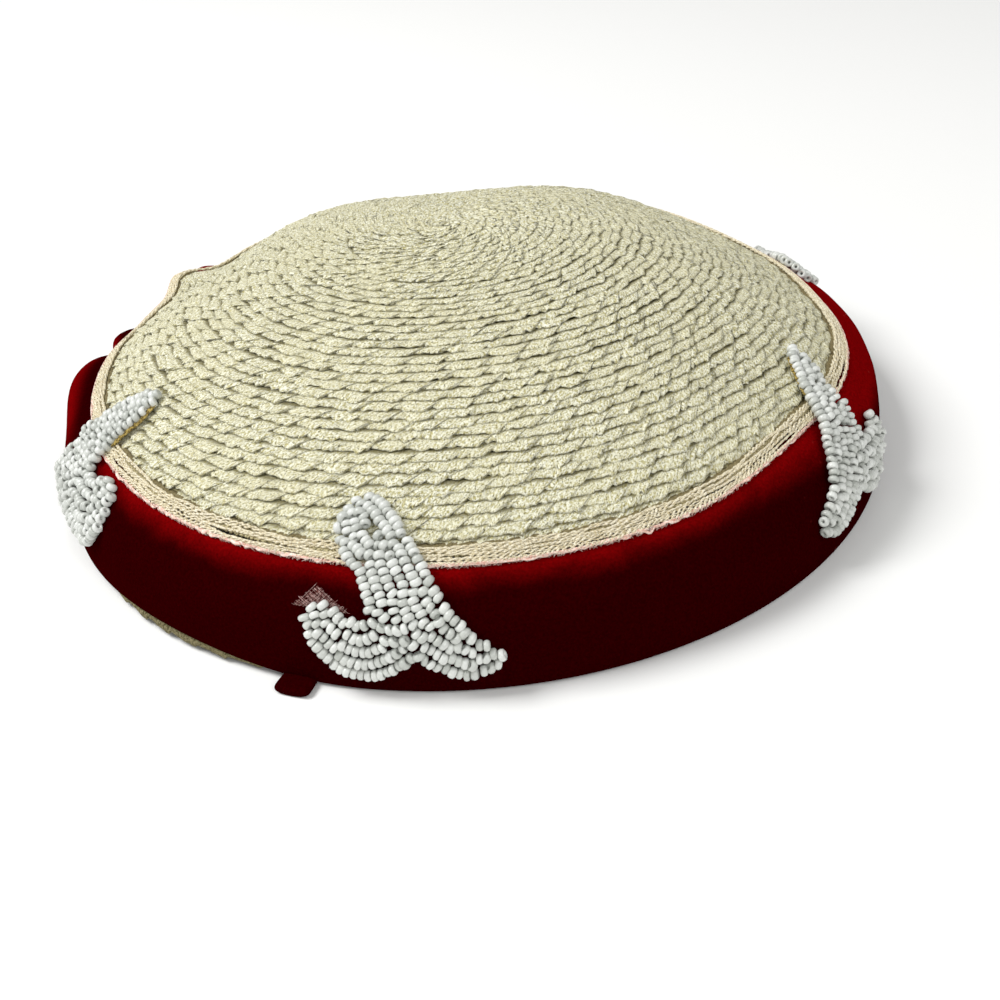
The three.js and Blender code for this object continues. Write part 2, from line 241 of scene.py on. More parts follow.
def leaf_row(place, length, row, seed, closed=False):
    """One sewn row of a flat plait, (1, run, ring, xyz), with its maps in mm along and across.

    Only the row's outer edge shows, as a chain of leaves, one for each fold of a strand. They grow
    from a start share of their length to the whole of it in the first two metres. Along a leaf the
    edge swings out evenly by saw while the surface rises by fold, and both fall back in its last
    seventh. The leaves of a round row are humps instead, half a sine wave each. The section is a
    flat shingle, low where it lies under the row before, and knobs roughen its edge.
    """
    draw = np.random.default_rng(seed)
    fine = np.linspace(0, length, 4000)
    leaf = row.leaf * (row.start + (1 - row.start) * smooth(*LEAF.grown, fine))
    number = np.cumsum(np.append(0, (1 / leaf[1:] + 1 / leaf[:-1]) / 2 * np.diff(fine)))
    count = int(round(number[-1]))
    shift = np.clip(draw.standard_normal(count - 1), -STRAY_LIMIT, STRAY_LIMIT)
    bounds = np.arange(count + 1.0)
    bounds[1:-1] += LEAF.shift * shift
    bounds = np.interp(bounds / count * number[-1], number, fine)[:, None]
    small = np.sqrt(np.diff(bounds, axis=0) / row.leaf)
    saw = row.saw * (1 + LEAF.uneven_saw * draw.standard_normal((count + 1, 1)))
    saw[1:] *= small
    saw[-1] = saw[0]
    share = np.array(ROW_STOPS)
    back = smooth(LEAF.falls, 1.0, share)
    ramp = np.minimum(share / LEAF.falls, 1)
    along = (bounds[:-1] + share * np.diff(bounds, axis=0)).ravel()
    swing = (saw[:-1] * (ramp - 0.5) * (1 - back) - 0.5 * saw[1:] * back).ravel()
    swing = swing + row.knobs * draw.standard_normal(len(swing))
    fold = row.fold * (1 + LEAF.uneven_fold * draw.standard_normal((count, 1))) * small
    hump = np.sin(np.pi * share) if row.round else ramp ** LEAF.bow * (1 - back)
    rise = (fold * hump).ravel()
    rise = rise + 0.5 * row.knobs * draw.standard_normal(len(rise))
    waver = stray(length, along, LEAF.waver_step, draw)
    waver = row.waver * waver * fade_ends(along, length, LEAF.calm_end)
    reach, height = np.array(ROW_ACROSS), np.array(ROW_HEIGHT)
    points = place(
        along[:, None] + row.skew * row.wide * (1 - reach),
        row.edge + waver[:, None] + swing[:, None] * reach - row.wide * (1 - reach),
        height + rise[:, None] * reach ** row.even,
    )
    if closed:
        along = np.append(along, length)
    girth = run_of(np.stack([row.wide * reach, height], -1)[[*range(len(reach)), 0]])
    return points[None], along[None], girth


def add_piece(name, groups, closed, material, slot, *nodes):
    """A piece of tubes or loops with its material, seated in place of its solids. Its slot is not
    used.

    Each group is points, a run map and a ring map. Points are (sheet, run, ring, xyz) in mm, with a
    face between each four neighbours. Rings are closed, and a run closes to a loop too, or has a
    face at either end. The two maps make the surface's own map, and have one value more than the
    points where that way is closed.
    """
    spots, quads, flat, ends, first = [], [], [], [], 0
    for points, run_map, ring_map in groups:
        index = first + np.arange(points[..., 0].size).reshape(points.shape[:3])
        first += index.size
        spots.append(points.reshape(-1, 3))
        if closed:
            index = np.concatenate([index, index[:, :1]], axis=1)
        else:
            ends += [index[:, 0, ::-1], index[:, -1]]
        index = np.concatenate([index, index[:, :, :1]], axis=2)
        own = np.stack(np.broadcast_arrays(run_map[..., None], ring_map, index)[:2], -1)
        for grid, kept in ((index, quads), (own, flat)):
            around = (grid[:, :-1, :-1], grid[:, :-1, 1:], grid[:, 1:, 1:], grid[:, 1:, :-1])
            kept.append(np.stack(around, 3).reshape(-1, 4, *grid.shape[3:]))
    quads, flat = np.concatenate(quads), np.concatenate(flat)
    ends = np.zeros((0, 3), int) if closed else np.concatenate(ends)
    corners = np.concatenate([quads.ravel(), ends.ravel()]).astype(np.int32)
    sizes = np.repeat([4, ends.shape[1]], [len(quads), len(ends)])
    starts = np.concatenate([[0], np.cumsum(sizes)[:-1]]).astype(np.int32)
    mesh = bpy.data.meshes.new(name)
    mesh.vertices.add(first)
    mesh.vertices.foreach_set("co", (np.concatenate(spots) * MM).astype(np.float32).ravel())
    mesh.loops.add(len(corners))
    mesh.loops.foreach_set("vertex_index", corners)
    mesh.polygons.add(len(starts))
    mesh.polygons.foreach_set("loop_start", starts)
    mesh.polygons.foreach_set("use_smooth", np.ones(len(starts), bool))
    layer = mesh.uv_layers.new(name="own_map")
    own = np.concatenate([flat.reshape(-1, 2), np.zeros((ends.size, 2))])
    layer.data.foreach_set("uv", own.astype(np.float32).ravel())
    mesh.update(calc_edges=True)
    piece = bpy.data.objects.new(name, mesh)
    bpy.context.scene.collection.objects.link(piece)
    mesh.materials.append(material)
    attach(piece, "root")
    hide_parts(*nodes)
    return piece


def linear(code):
    """An sRGB hex as linear light: c / 12.92 up to 0.04045, then ((c + 0.055) / 1.055)^2.4."""
    part = np.array([int(code[i : i + 2], 16) for i in (1, 3, 5)]) / 255
    light = np.where(part <= 0.04045, part / 12.92, ((part + 0.055) / 1.055) ** 2.4)
    return (*light.tolist(), 1.0)


def add_node(tree, kind, inputs=None, **settings):
    """One shader node: its settings, then each input as a value or as a link from a socket.

    A node given as an input stands for its first socket, or for the colour if it is a mix.
    """
    made = tree.nodes.new(kind)
    for key, value in settings.items():
        setattr(made, key, value)
    for key, value in (inputs or {}).items():
        if isinstance(value, bpy.types.Node):
            value = value.outputs[2 if value.type == "MIX" else 0]
        if isinstance(value, bpy.types.NodeSocket):
            tree.links.new(value, made.inputs[key])
        else:
            made.inputs[key].default_value = value
    return made


def new_material(name):
    """An empty material, and add_node for its own tree."""
    material = bpy.data.materials.new(name)
    material.use_nodes = True
    material.node_tree.nodes.clear()
    return material, partial(add_node, material.node_tree)


def straw(name, light, dark, pit_and_seam_shade_colour, tint, depth):
    """Bleached straw fibre, twisted and plaited: a dry, pale surface of fine flecks and small pits.

    The own map holds mm along a row and across it. Flecks of some 0.4 mm lie slantwise, where the
    fibres of a strand come up and go under. Where a row comes out from under the one before, its
    colour is darkened towards the pit colour as painted shade in the seam, and a slow change of
    tone keeps the rows from looking printed. The depth of the relief is in mm.
    """
    material, node = new_material(name)
    place = node("ShaderNodeTexCoord")
    slant = node(
        "ShaderNodeMapping", {"Vector": place.outputs["UV"], "Rotation": (0, 0, np.radians(-40))}
    )
    stretch = node("ShaderNodeMapping", {"Vector": slant, "Scale": (1.6, 2.9, 1.0)})
    fleck = node(
        "ShaderNodeTexNoise", {"Vector": stretch, "Scale": 1.0, "Detail": 3.0, "Roughness": 0.75}
    )
    pits = node("ShaderNodeTexNoise", {"Vector": stretch, "Scale": 1.5, "Detail": 2.0})
    tone = node(
        "ShaderNodeTexNoise", {"Vector": place.outputs["Object"], "Scale": 90.0, "Detail": 2.0}
    )
    own = node("ShaderNodeSeparateXYZ", {0: place.outputs["UV"]})
    # The last of these maps, across the row from 1.75 to 1.15 mm, is painted shade in the seam
    # where a row comes out from under the one before.
    strand, pitted, toned, seam_shade = (
        node(
            "ShaderNodeMapRange",
            {"Value": value, "From Min": low, "From Max": high, "To Max": most},
        )
        for value, low, high, most in (
            (fleck, 0.42, 0.55, 1.0), (pits, 0.42, 0.34, 0.85), (tone, 0.4, 0.7, 0.35),
            (own.outputs["Y"], 1.75, 1.15, 0.75),
        )
    )
    # Real pits and the painted seam shade both darken the straw towards the pit colour.
    pits_and_seam_shade_mask = node("ShaderNodeMath", {0: pitted, 1: seam_shade}, operation="MAXIMUM")
    colour = linear(dark)
    for share, over in ((strand, light), (toned, tint), (pits_and_seam_shade_mask, pit_and_seam_shade_colour)):
        colour = node("ShaderNodeMix", {0: share, 6: colour, 7: linear(over)}, data_type="RGBA")
    relief = node("ShaderNodeBump", {"Height": fleck, "Strength": 1.0, "Distance": depth * MM})
    shader = node(
        "ShaderNodeBsdfPrincipled",
        {"Base Color": colour, "Roughness": 0.7, "Normal": relief, "Specular IOR Level": 0.1},
    )
    node("ShaderNodeOutputMaterial", {"Surface": shader})
    return material


crown_straw = straw("bleached_straw", "#fffee9", "#c2b981", "#645a26", "#ebe5be", 0.6)
rows, along, girth = leaf_row(along_spiral, spiral_length[-1], CROWN_ROW, STRAW_SEED)
row_run, row_turn = spiral_at(along[0])
in_sight = from_middle(row_turn, spoke_distance(row_turn, row_run))[1] < rim_start
ends = np.flatnonzero(np.diff(np.concatenate([[0], in_sight, [0]]))).reshape(-1, 2)
cut = int(in_sight.sum() / 2)
stretches = [(0, cut + 1), (cut, ends[0, 1])]
stretches += [row for row in ends[1:] if row[1] - row[0] > SHORTEST_STRETCH]
groups = [(rows[:, a:b], along[:, a:b], girth) for a, b in stretches]
for name, part in (("crown_inner_rows", groups[:1]), ("crown_outer_rows", groups[1:])):
    add_piece(name, part, False, crown_straw, "straw", "crown")

# The rim of the crown. Five loose cords of two straw strands are sewn side by side on a row of
# narrow, tightly worked braid, over the ends of the crown's rows, and a pinkish thread edge, frayed
# by wear, closes the corner to the velvet.
RIM_ROW = Sizes(
    inset=1.5, leaf=1.2, wide=2.9, edge=0, saw=0.3, fold=0.2, even=0.3, skew=0.6, waver=0.14,
    knobs=0.08, round=1, start=1,
)
RIM_SINK = 0.3
# Ring maps of the cords, the edge thread and the fringe start here, past the straw's painted seam
# shade, so they carry none of it.
SEAM_SHADE_FREE = 3.0
TUBE_FLATNESS = 0.8
RIM_CORDS = table(
    "inset wave phase up",
    (3.1, 3.5, 1.0, 0.12),
    (2.4, 3.1, 3.0, 0.14),
    (1.72, 2.8, 5.0, 0.08),
    (1.04, 2.5, 2.0, 0.0),
    (0.4, 2.2, 4.0, 0.0),
)
RIM_CORD = Sizes(
    swing=0.2, dip=0.16, wide=0.42, thick=0.44, ring=5, steps=8, uneven=0.2, closing=0.02,
)
# How much a cord's twist drifts, its line wanders and its swing loosens, and over what length.
RIM_CORD_STRAYS = ((2.2, 4.0), (0.16, 5.0), (0.45, 7.0))
RIM_EDGE = Sizes(
    inset=0.05, wide=0.5, thick=0.42, sink=0.16, steps=1400, ring=6, closing=8,
    stray_steps=(0.8, 0.9, 0.6), sway=0.2, bob=0.12, uneven=0.35,
)
FRINGE = Sizes(
    fibres=3600, points=4, long=(0.2, 0.8), thick=0.13, taper=0.5, lean=0.7, curl=1.3, inset=0.2,
    up=0.3, droop=0.75, bend=1.6, limp=(0.5, 1.3),
)
rim_length = 2 * np.pi * LIP_RADIUS
rim_straw = straw("rim_braid_straw", "#e2d8b0", "#a3956a", "#6a5c38", "#c6b98c", 0.45)
cord_straw = straw("fine_cord_straw", "#fff8e2", "#cdbd92", "#7d6a40", "#eee2c0", 0.25)


def along_rim(along, across, up):
    """A point on the rim: its turn from the length along it, then a run from the lip and up."""
    radius = np.interp(lip_run - RIM_ROW.inset + across, crown_run, crown_radius)
    return over_crown(along / rim_length * 360, radius, up - RIM_SINK)


def flattened(value, power):
    """A sine or cosine with its size raised to a power, which squares off a round section."""
    return np.sign(value) * np.abs(value) ** power


def carry(place, a, b, up, wide, thick, ring, closed=False):
    """Tubes along lines on a face: an oval of so many points, its flat side turned to the face."""
    core = place(a, b, up)
    top = place(a, b, up + 1.0) - core
    ahead = np.gradient(core, axis=-2)
    if closed:
        ahead = np.roll(core, -1, axis=-2) - np.roll(core, 1, axis=-2)
    side = unit(np.cross(top, ahead))
    top = unit(np.cross(ahead, side))
    angle = np.arange(ring) / ring * 2 * np.pi
    across, over = np.cos(angle), flattened(np.sin(angle), TUBE_FLATNESS)
    sideways = side[..., None, :] * (np.asarray(wide)[..., None] / 2 * across)[..., None]
    upwards = top[..., None, :] * (np.asarray(thick)[..., None] / 2 * over)[..., None]
    return core[..., None, :] + sideways + upwards


row = leaf_row(along_rim, rim_length, RIM_ROW, STRAW_SEED + 1, closed=True)
add_piece("crown_rim", [row], True, rim_straw, "straw", "crown")

draw = np.random.default_rng(STRAW_SEED + 3)
groups = []
for row in RIM_CORDS:
    waves = round(rim_length / row.wave)
    share = np.linspace(0, 1, waves * RIM_CORD.steps, endpoint=False)
    closing = fade_ends(share, 1, RIM_CORD.closing)
    drift, wander, loose = (
        by * stray(rim_length, share * rim_length, step, draw) * closing
        for by, step in RIM_CORD_STRAYS
    )
    for strand in range(2):
        phase = 2 * np.pi * (waves * share + strand / 2) + row.phase + drift
        uneven = 1 + RIM_CORD.uneven * draw.standard_normal(len(share))
        swing = RIM_CORD.swing * np.sin(phase) * uneven * (1 + loose)
        cord_run = lip_run - (row.inset + wander + swing)
        tube = carry(
            over_crown, share * 360, np.interp(cord_run, crown_run, crown_radius),
            RIM_CORD.dip * np.cos(phase) + row.up,
            RIM_CORD.wide * uneven, RIM_CORD.thick, RIM_CORD.ring, closed=True,
        )
        length_map = np.append(share, 1)[None] * rim_length
        ring_map = SEAM_SHADE_FREE + strand + np.linspace(0, 2, RIM_CORD.ring + 1)
        groups.append((tube[None], length_map, ring_map))
add_piece("rim_cords", groups, True, cord_straw, "straw", "crown")


def matt_fibre(name, light, dark):
    """Stiff thread or cut cloth edge: a matt fibre with streaks of some 0.3 mm, light and dark."""
    material, node = new_material(name)
    place = node("ShaderNodeTexCoord")
    streak = node(
        "ShaderNodeTexNoise", {"Vector": place.outputs["Object"], "Scale": 2600.0, "Detail": 2.0}
    )
    mixed = node("ShaderNodeMapRange", {"Value": streak, "From Min": 0.4, "From Max": 0.6})
    colour = node("ShaderNodeMix", {0: mixed, 6: linear(dark), 7: linear(light)}, data_type="RGBA")
    shader = node(
        "ShaderNodeBsdfPrincipled",
        {"Base Color": colour, "Roughness": 0.8, "Specular IOR Level": 0.2},
    )
    node("ShaderNodeOutputMaterial", {"Surface": shader})
    return material


pink_thread = matt_fibre("pinkish_edge_thread", "#ffeee2", "#f2c4b2")
edge_turn = np.linspace(0, 360, RIM_EDGE.steps, endpoint=False)
closing = fade_ends(edge_turn, 360, RIM_EDGE.closing)
sway, bob, swollen = (stray(360, edge_turn, step, draw) for step in RIM_EDGE.stray_steps)
swollen = np.clip(swollen, -STRAY_LIMIT, STRAY_LIMIT)
thick = 1 + RIM_EDGE.uneven * swollen * closing
edge_run = lip_run - RIM_EDGE.inset + RIM_EDGE.sway * sway * closing
tube = carry(
    over_crown, edge_turn, np.interp(edge_run, crown_run, crown_radius),
    RIM_EDGE.bob * bob * closing - RIM_EDGE.sink,
    RIM_EDGE.wide * thick, RIM_EDGE.thick * thick, RIM_EDGE.ring, closed=True,
)
length_map = np.linspace(0, rim_length, RIM_EDGE.steps + 1)[None]
group = (tube[None], length_map, SEAM_SHADE_FREE + np.linspace(0, 3, RIM_EDGE.ring + 1))
add_piece("rim_edge_thread", [group], True, pink_thread, "straw", "crown")

fibres = (FRINGE.fibres, 1)
share = np.linspace(0, 1, FRINGE.points)[None]
root_turn = draw.uniform(0, 360, fibres)
fringe_run = lip_run - FRINGE.inset + draw.uniform(*FRINGE.long, fibres) * share
lean = draw.normal(0, FRINGE.lean, fibres)
droop = FRINGE.droop * share ** FRINGE.bend * draw.uniform(*FRINGE.limp, fibres)
thick = FRINGE.thick * (1 - FRINGE.taper * share)
tubes = carry(
    over_crown, root_turn + np.degrees(lean * share ** FRINGE.curl / LIP_RADIUS),
    np.interp(fringe_run, crown_run, crown_radius), FRINGE.up - droop, thick, thick, 3,
)
group = (tubes, root_turn / 360 * rim_length + share, SEAM_SHADE_FREE + np.linspace(0, 1, 4))
add_piece("rim_fringe", [group], False, pink_thread, "straw", "crown")

# The straw side under the velvet. Level rings of the same plait are sewn one over the other from
# the lower edge up to the rim. It shows from below, and where the velvet's hem is drawn up, and it
# gives way where the soft band is pressed in.
BAND_RADII = (84.8, 84.7, 84.4, 83.6, 82.0, 79.7, 77.2, 74.6)
BAND_HEIGHTS = (0.0, 3.5, 8.0, 11.8, 14.9, 17.2, 18.6, 19.2)
BAND_CALM_HEIGHT = 9.0
BAND_BULGES = table(
    "turn spread up reach out",
    (-90, 24, 12, 8, 1.1),
    (88, 26, 6, 6, -0.8),
)
BAND_ROLLS = table(
    "turn spread up reach out",
    (-100, 8.5, 13, 6, 3.2),
    (-94, 17, 20.8, 2.4, -2.8),
    (-106.5, 2, 15.0, 8.0, -3.0),
    (-125, 12, 14.0, 8.0, -3.4),
    (-129, 4.4, 22.0, 3.4, 3.3),
    (0, 900, 21.8, 2.6, 1.3),
    (-111, 2.6, 16.5, 4.5, 2.6),
    (100, 16, 15, 8, 0.9),
)
BAND_TUCK = (14.5, 18.4)
HEM_RISE = Sizes(turn=-43, half_span=28, rise=2.2)
HEM_REACH = 12.0
SIDE_ROW = Sizes(
    **vars(CROWN_ROW)
    | dict(saw=0.5, fold=0.15, even=1.0, skew=0.5, waver=0.06, knobs=0.08, start=1)
)
SIDE_ROWS = 10
SIDE_FIRST = 1.9
SIDE_SINK = 2.2
SIDE_SHOW = Sizes(turn=-43, spread=26, out=2.3, height=(1.6, 3.4))
SIDE_RADIUS = 82.0
SIDE_OFFSET = 137.5
SIDE_SEED = STRAW_SEED + 10


def smooth_line(rows, count):
    """Points on the curve through the rows: between two of them, the cubic whose slope at each is
    half the step from its neighbour before to its neighbour after."""
    rows = np.asarray(rows, float)
    place = np.linspace(0, len(rows) - 1, count)
    index = np.minimum(place.astype(int), len(rows) - 2)
    share = (place - index)[:, None]
    before, here = rows[np.maximum(index - 1, 0)], rows[index]
    there, after = rows[index + 1], rows[np.minimum(index + 2, len(rows) - 1)]
    bend = (2 * before - 5 * here + 4 * there - after) * share**2
    twist = (3 * here - before - 3 * there + after) * share**3
    return 0.5 * (2 * here + (there - before) * share + bend + twist)


def read_line(stops, run, line):
    """The two coordinates of a flat line at some lengths along it."""
    return [np.interp(stops, run, line[:, i]) for i in (0, 1)]


band_line = smooth_line(np.stack([BAND_RADII, BAND_HEIGHTS], -1), 500)
band_run = run_of(band_line)
band_slope = np.gradient(band_line, band_run, axis=0)


def soft_bells(rows, turn, up):
    """Outset of a soft wall: a sum of bells round the hat, each times a bell up the wall."""
    near = [bell(turn, row) * np.exp(-(((up - row.up) / row.reach) ** 2)) for row in rows]
    return sum(row.out * share for row, share in zip(rows, near))


def band_bulge(turn, height):
    """Outset of the side by its bulges, which die out in the tuck."""
    return soft_bells(BAND_BULGES, turn, height) * (1 - smooth(*BAND_TUCK, height))


def band_point(turn, radius, height, hem_share):
    """The side of the hat: a level place, moved by the rim's waves, the bulges and the hem."""
    outset, lift = edge_wave(turn)
    top = smooth(BAND_CALM_HEIGHT, LIP_HEIGHT, height)
    swell = crown_swell(turn, np.minimum(radius, LIP_RADIUS))
    drawn = np.clip(turn_between(turn, HEM_RISE.turn) / HEM_RISE.half_span, 0, 1)
    low = np.clip(1 - height / HEM_REACH, 0, 1)
    hem = HEM_RISE.rise * np.cos(drawn * np.pi / 2) ** 2 * low
    return round_point(
        turn,
        radius + np.minimum(0, outset) * top + band_bulge(turn, height),
        height + lift * top + swell * smooth(*BAND_TUCK, height) + hem * hem_share,
    )


def over_band(turn, run, out, hem_share):
    """A point at a distance out from the velvet's face, at a run up from the hem."""
    radius, height = read_line(run, band_run, band_line)
    rise_r, rise_z = read_line(run, band_run, band_slope)
    return band_point(turn, radius + rise_z * out, height - rise_r * out, hem_share)


def along_side(number, along, across, up):
    """A point on one ring of the side: its turn from the length along it, then down and out."""
    turn = along / side_length * 360 + number * SIDE_OFFSET
    run = SIDE_FIRST + number * BRAID_PITCH - across
    shown = SIDE_SHOW.out * bell(turn, SIDE_SHOW) * (1 - smooth(*SIDE_SHOW.height, run))
    pressed = np.minimum(0, soft_bells(BAND_ROLLS, turn, run))
    return over_band(turn, run, up - SIDE_SINK + shown + pressed, 0.0)


side_length = round(2 * np.pi * SIDE_RADIUS / SIDE_ROW.leaf) * SIDE_ROW.leaf
groups = [
    leaf_row(partial(along_side, number), side_length, SIDE_ROW, SIDE_SEED + number, closed=True)
    for number in range(SIDE_ROWS)
]
# The side's straw is a darker straw, darkened as painted shade for its place under the velvet.
side_straw = straw("shaded_side_straw", "#938a68", "#5e5638", "#3c351c", "#7d7453", 0.6)
add_piece("straw_side", groups, True, side_straw, "straw", "side_band")

# The velvet band. A strip of red cotton velvet is stretched round the straw side, folded under at
# the hem and tucked under the rim. Where it bends over, and on its right side, its colour is
# painted a brighter red in wandering patches, as painted light. At the left it stands out as a soft
# roll, with a deep furrow between it and the straw.
VELVET_WALL = 1.5
VELVET_TURNS = 480
VELVET_STEPS = (44, 16)
VELVET_EDGE = 0.6
VELVET_RIPPLES = table(
    "waves phase climb depth",
    (7, 0.4, 0.9, 0.1),
    (17, 2.1, -1.6, 0.07),
    (29, 4.4, 2.7, 0.045),
)
RIPPLE_CLIMB = 6.0
RIPPLE_CALM = Sizes(hem=5.0, tuck=(6.0, 2.0))
VELVET_SIDES = table("middle far near", (95.0, 65.0, 8.0), (-101.0, 27.0, 11.0))


def velvet(name, deep, bright, worn, sheen):
    """Cotton velvet: deep red, with painted light and sheen in a brighter red where it bends over
    an edge.

    The own map holds the turn in degrees and the run up from the hem in mm. Where the band bends
    over to the tuck, lower down on the right side and on the crest of the left side's roll, the
    colour is mixed towards the brighter red as painted light and sheen, in wandering patches at its
    border. Elsewhere on the left side and in the furrow beside the straw it stays deep red as
    painted shade. The pile's grain of 0.1 mm is drawn at 0.4 mm, as coarse as it needs to show.
    Lint lies on the right side.
    """
    material, node = new_material(name)
    place = node("ShaderNodeTexCoord")
    own = node("ShaderNodeSeparateXYZ", {0: place.outputs["UV"]})
    patches = node(
        "ShaderNodeTexNoise",
        {"Vector": place.outputs["Object"], "Scale": 110.0, "Detail": 4.0, "Distortion": 0.8},
    )
    grain = node(
        "ShaderNodeTexNoise", {"Vector": place.outputs["Object"], "Scale": 2200.0, "Detail": 2.0}
    )
    lint = node("ShaderNodeTexVoronoi", {"Vector": place.outputs["Object"], "Scale": 260.0})
    loose = node(
        "ShaderNodeMapRange", {"Value": lint, "From Min": 0.1, "From Max": 0.05, "To Max": 0.6}
    )
    wander = node(
        "ShaderNodeMath", {0: patches, 1: 3.5, 2: own.outputs["Y"]}, operation="MULTIPLY_ADD"
    )
    sides = []
    for row in VELVET_SIDES:
        off = node("ShaderNodeMath", {0: own.outputs["X"], 1: row.middle}, operation="SUBTRACT")
        away = node("ShaderNodeMath", {0: off}, operation="ABSOLUTE")
        near = node(
            "ShaderNodeMapRange",
            {"Value": away, "From Min": row.far, "From Max": row.near},
            interpolation_type="SMOOTHSTEP",
        )
        sides.append(near)
    right, left = sides
    # Painted light and shade: the run is shifted up on the right side and down on the left, so the
    # painted bend light reaches lower on the right and is held back on the left as painted shade.
    right_lit_run = node("ShaderNodeMath", {0: right, 1: 8.0, 2: wander}, operation="MULTIPLY_ADD")
    painted_light_run = node("ShaderNodeMath", {0: left, 1: -9.0, 2: right_lit_run}, operation="MULTIPLY_ADD")
    painted_bend_light = node(
        "ShaderNodeMapRange", {"Value": painted_light_run, "From Min": 18.6, "From Max": 25.8},
        interpolation_type="SMOOTHERSTEP",
    )
    # On the left, a painted highlight on the crest of the roll, fading to painted shade in the
    # furrow next to the straw.
    crest, furrow = (
        node(
            "ShaderNodeMapRange",
            {"Value": own.outputs["Y"], "From Min": low, "From Max": high, "To Max": most},
            interpolation_type="SMOOTHSTEP",
        )
        for low, high, most in ((3.0, 12.0, 0.75), (18.0, 14.5, 1.0))
    )
    ridge = node("ShaderNodeMath", {0: crest, 1: furrow}, operation="MULTIPLY")
    roll_lit = node("ShaderNodeMath", {0: ridge, 1: left}, operation="MULTIPLY")
    painted_pile_light = node("ShaderNodeMath", {0: painted_bend_light, 1: roll_lit}, operation="MAXIMUM")
    pile = node(
        "ShaderNodeMix", {0: painted_pile_light, 6: linear(deep), 7: linear(bright)}, data_type="RGBA"
    )
    shade = node(
        "ShaderNodeMapRange",
        {"Value": grain, "From Min": 0.3, "From Max": 0.7, "To Min": 0.75, "To Max": 1.25},
    )
    grained_colour = node("ShaderNodeVectorMath", {0: pile, "Scale": shade}, operation="SCALE")
    speck = node("ShaderNodeMath", {0: loose, 1: right}, operation="MULTIPLY")
    colour = node("ShaderNodeMix", {0: speck, 6: grained_colour, 7: linear(worn)}, data_type="RGBA")
    relief = node("ShaderNodeBump", {"Height": grain, "Strength": 0.5, "Distance": 0.3 * MM})
    shader = node(
        "ShaderNodeBsdfPrincipled",
        {
            "Base Color": colour, "Roughness": 0.95, "Normal": relief, "Specular IOR Level": 0.0,
            "Sheen Weight": 0.12, "Sheen Roughness": 0.35, "Sheen Tint": linear(sheen),
        },
    )
    node("ShaderNodeOutputMaterial", {"Surface": shader})
    return material


# The second red is the painted light and sheen on the bends and the roll's crest.
red_velvet = velvet("red_cotton_velvet", "#280001", "#760204", "#8a2a26", "#6a0305")
velvet_turn = np.linspace(-180, 180, VELVET_TURNS + 1)
velvet_top = band_run[-1] - VELVET_EDGE
fold = np.linspace(0, np.pi, 7)[1:-1]
loop_run = np.concatenate(
    [
        np.linspace(velvet_top, VELVET_EDGE, VELVET_STEPS[0]),
        VELVET_EDGE * (1 - np.sin(fold)),
        np.linspace(VELVET_EDGE, velvet_top, VELVET_STEPS[1]),
        velvet_top + VELVET_EDGE * np.sin(fold),
    ]
)
loop_out = -VELVET_WALL / 2 * np.concatenate(
    [np.zeros(VELVET_STEPS[0]), 1 - np.cos(fold), np.full(VELVET_STEPS[1], 2.0), 1 + np.cos(fold)]
)
round_turn = velvet_turn[:-1, None]
ripple = 0.0
for row in VELVET_RIPPLES:
    climb = row.phase + row.climb * loop_run / RIPPLE_CLIMB
    ripple = ripple + row.depth * np.sin(np.radians(round_turn) * row.waves + climb)
calm_from, calm_to = (velvet_top - under for under in RIPPLE_CALM.tuck)
ripple = ripple * smooth(0, RIPPLE_CALM.hem, loop_run)
ripple = ripple * (1 - smooth(calm_from, calm_to, loop_run))
ripple = ripple + soft_bells(BAND_ROLLS, round_turn, loop_run)
velvet_points = over_band(round_turn, loop_run, loop_out + ripple, 1.0)
group = (velvet_points[None], velvet_turn[None], np.append(loop_run, loop_run[0]))
velvet_band = add_piece("velvet_band_cloth", [group], True, red_velvet, "velvet", "velvet_band")

# The slipped fold. A small tongue of the band's own turning has come out from under the hem, and
# lies on the surface there with its raw edge rounded by wear.
TAB = Sizes(
    turn=-23.6, inner=83.25, long=5.4, width=7.4, thick=1.3, root=0.86, clear=0.02, run_map=12.0,
)
TAB_GRID = (22, 28)
TAB_TIP = Sizes(wide_power=5, least_wide=0.02, thick_power=6, least_thick=0.03)
TAB_SECTION = (0.7, 0.8)
tab_out = np.linspace(0, 1, TAB_GRID[0])[:, None]
tab_ring = np.linspace(2 * np.pi, 0, TAB_GRID[1], endpoint=False)[None, :]
tab_long = TAB.inner + TAB.long * np.sin(tab_out * np.pi / 2)
tab_wide = np.sqrt(np.clip(1 - tab_out ** TAB_TIP.wide_power, TAB_TIP.least_wide, 1))
tab_half = TAB.width / 2 * (TAB.root + (1 - TAB.root) * tab_out) * tab_wide
tab_thick = np.sqrt(np.clip(1 - tab_out ** TAB_TIP.thick_power, TAB_TIP.least_thick, 1))
tab_thick = TAB.thick / 2 * tab_thick
tab_side = tab_half * flattened(np.cos(tab_ring), TAB_SECTION[0])
tab_up = tab_thick * (flattened(np.sin(tab_ring), TAB_SECTION[1]) + 1) + TAB.clear
tab_angle = np.radians(TAB.turn)
tab_points = np.stack(
    [
        tab_long * np.sin(tab_angle) - tab_side * np.cos(tab_angle),
        -tab_long * np.cos(tab_angle) - tab_side * np.sin(tab_angle),
        tab_up,
    ],
    -1,
)
tab_maps = (np.full((1, TAB_GRID[0]), TAB.turn), np.full(TAB_GRID[1] + 1, TAB.run_map))
group = (tab_points[None], *tab_maps)
add_piece("velvet_tab_fold", [group], False, red_velvet, "velvet", "velvet_tab")

